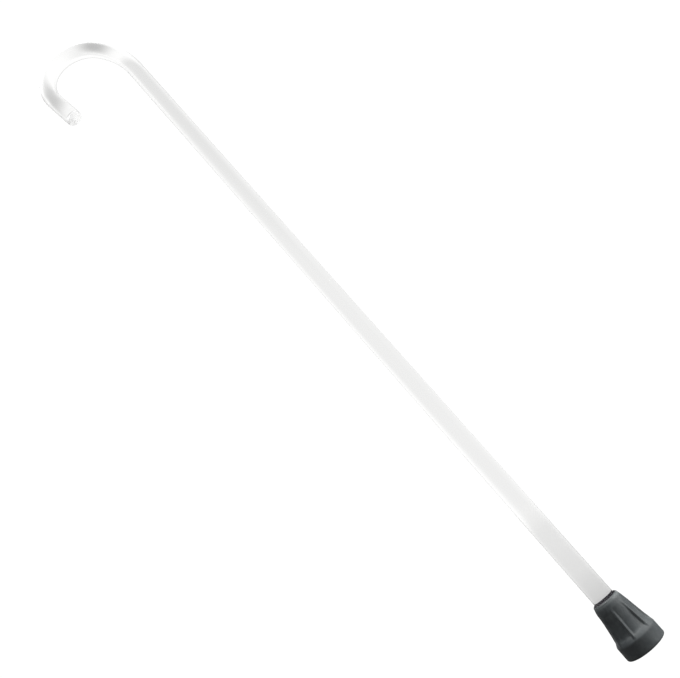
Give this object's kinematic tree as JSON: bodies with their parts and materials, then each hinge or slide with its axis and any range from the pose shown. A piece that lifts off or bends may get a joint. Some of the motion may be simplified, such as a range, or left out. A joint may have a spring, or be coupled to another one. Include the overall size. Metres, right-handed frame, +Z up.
{
  "type": "walking cane",
  "caption": "Clear acrylic walking cane, one round bar bent into a crook handle, on a ribbed dark grey push-fit rubber ferrule.",
  "frame": {"origin": "centre of the ferrule's sole, where the cane meets the ground", "axes": "+Z up the straight shaft; the crook hooks over towards +X in the XZ plane; +Y completes a right-handed frame"},
  "size_m": [0.1327, 0.0392, 0.9168],
  "materials": {
    "clear_acrylic": "clear and polished",
    "grey_rubber": "moulded, satin, dark slate grey",
    "washer_steel": "stamped, zinc plated"
  },
  "bodies": {
    "cane": {"crook_rod": "clear_acrylic"},
    "ferrule": {"rubber_ferrule": "grey_rubber", "ferrule_washer": "washer_steel"}
  },
  "joints": [
    {"name": "ferrule_pull_off", "type": "slide", "parent": "cane", "child": "ferrule", "axis": [0, 0, -1], "range_m": [0, 0.06]}
  ]
}
